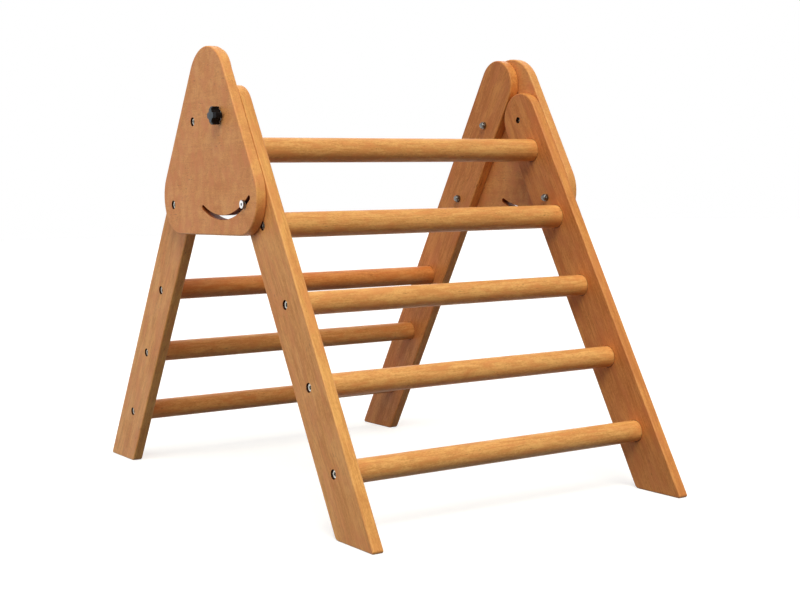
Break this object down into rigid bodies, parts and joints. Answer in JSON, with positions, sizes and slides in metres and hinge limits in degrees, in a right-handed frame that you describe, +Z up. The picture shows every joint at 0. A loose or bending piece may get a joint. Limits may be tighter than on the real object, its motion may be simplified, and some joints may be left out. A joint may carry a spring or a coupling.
{
  "type": "folding climbing triangle",
  "caption": "Wooden folding climbing triangle: two rung ladders joined by curved-slot head plates, with clamp knobs at the fold.",
  "frame": {"origin": "on the floor, at the centre of the space that the opened frame covers", "axes": "+X along the rungs to the right as seen from the front, +Y to the back ladder, -Y to the front ladder, +Z up"},
  "size_m": [0.5478, 0.8, 0.609],
  "materials": {
    "plate_wood": "satin varnish",
    "leg_wood": "satin varnish",
    "rung_wood": "satin varnish",
    "screw_steel": "zinc plated",
    "nut_steel": "zinc plated",
    "bright_steel": "polished",
    "insert_brass": "plain",
    "knob_plastic": "fine matte"
  },
  "bodies": {
    "back_frame": {"left_head_plate": "plate_wood", "left_back_leg": "leg_wood", "right_head_plate": "plate_wood", "right_back_leg": "leg_wood", "back_rung_1": "rung_wood", "back_rung_2": "rung_wood", "back_rung_3": "rung_wood", "left_back_rung_screws": "screw_steel", "left_plate_screws": "screw_steel", "left_back_rung_inserts": "insert_brass", "left_plate_cap_nuts": "nut_steel", "left_knob_washer": "nut_steel", "right_back_rung_screws": "screw_steel", "right_plate_screws": "screw_steel", "right_back_rung_inserts": "insert_brass", "right_plate_cap_nuts": "nut_steel", "right_knob_washer": "nut_steel"},
    "front_ladder": {"left_front_leg": "leg_wood", "right_front_leg": "leg_wood", "front_rung_1": "rung_wood", "front_rung_2": "rung_wood", "front_rung_3": "rung_wood", "front_rung_4": "rung_wood", "front_rung_5": "rung_wood", "left_front_rung_screws": "screw_steel", "left_front_rung_inserts": "insert_brass", "left_pivot_insert": "insert_brass", "left_guide_cap_nut": "nut_steel", "left_guide_bolt": "bright_steel", "left_guide_washer": "nut_steel", "right_front_rung_screws": "screw_steel", "right_front_rung_inserts": "insert_brass", "right_pivot_insert": "insert_brass", "right_guide_cap_nut": "nut_steel", "right_guide_bolt": "bright_steel", "right_guide_washer": "nut_steel"},
    "left_clamp_knob": {"left_knob": "knob_plastic", "left_knob_stud": "screw_steel"},
    "right_clamp_knob": {"right_knob": "knob_plastic", "right_knob_stud": "screw_steel"}
  },
  "joints": [
    {"name": "fold", "type": "hinge", "parent": "back_frame", "child": "front_ladder", "pos_m": [0, -0.06276, 0.515], "axis": [1, 0, 0], "range_deg": [-6.5, 55.7]},
    {"name": "left_knob_turn", "type": "hinge", "parent": "back_frame", "child": "left_clamp_knob", "pos_m": [-0.2679, -0.06276, 0.515], "axis": [1, 0, 0], "continuous": true},
    {"name": "right_knob_turn", "type": "hinge", "parent": "back_frame", "child": "right_clamp_knob", "pos_m": [0.2679, -0.06276, 0.515], "axis": [1, 0, 0], "continuous": true}
  ]
}
